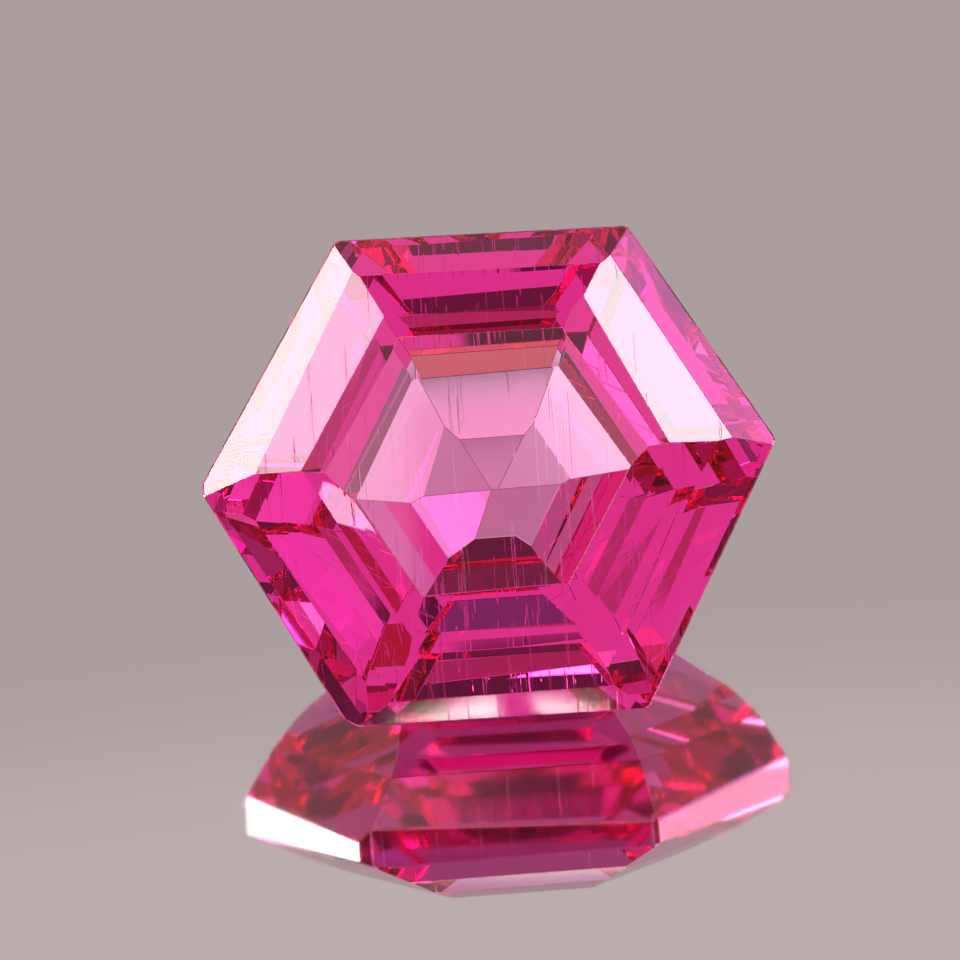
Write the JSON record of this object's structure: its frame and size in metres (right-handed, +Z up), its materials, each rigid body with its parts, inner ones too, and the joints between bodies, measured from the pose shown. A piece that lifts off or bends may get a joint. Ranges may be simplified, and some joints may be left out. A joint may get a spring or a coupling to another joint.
{
  "type": "faceted sapphire",
  "caption": "Loose hexagonal step-cut pink sapphire with a flat table, stepped crown, polished girdle and deep stepped pavilion, lying on a pavilion facet.",
  "frame": {"origin": "bottom centre of the bounding box, in the plane that the stone rests on", "axes": "+Z up, +X along the stone's widest corner-to-corner line, the table faces -Y and up"},
  "size_m": [0.0092, 0.0064, 0.0061],
  "materials": {
    "sapphire": "polished, see-through hot pink crystal, refractive index 1.77"
  },
  "bodies": {
    "root": {"sapphire": "sapphire"}
  },
  "joints": []
}
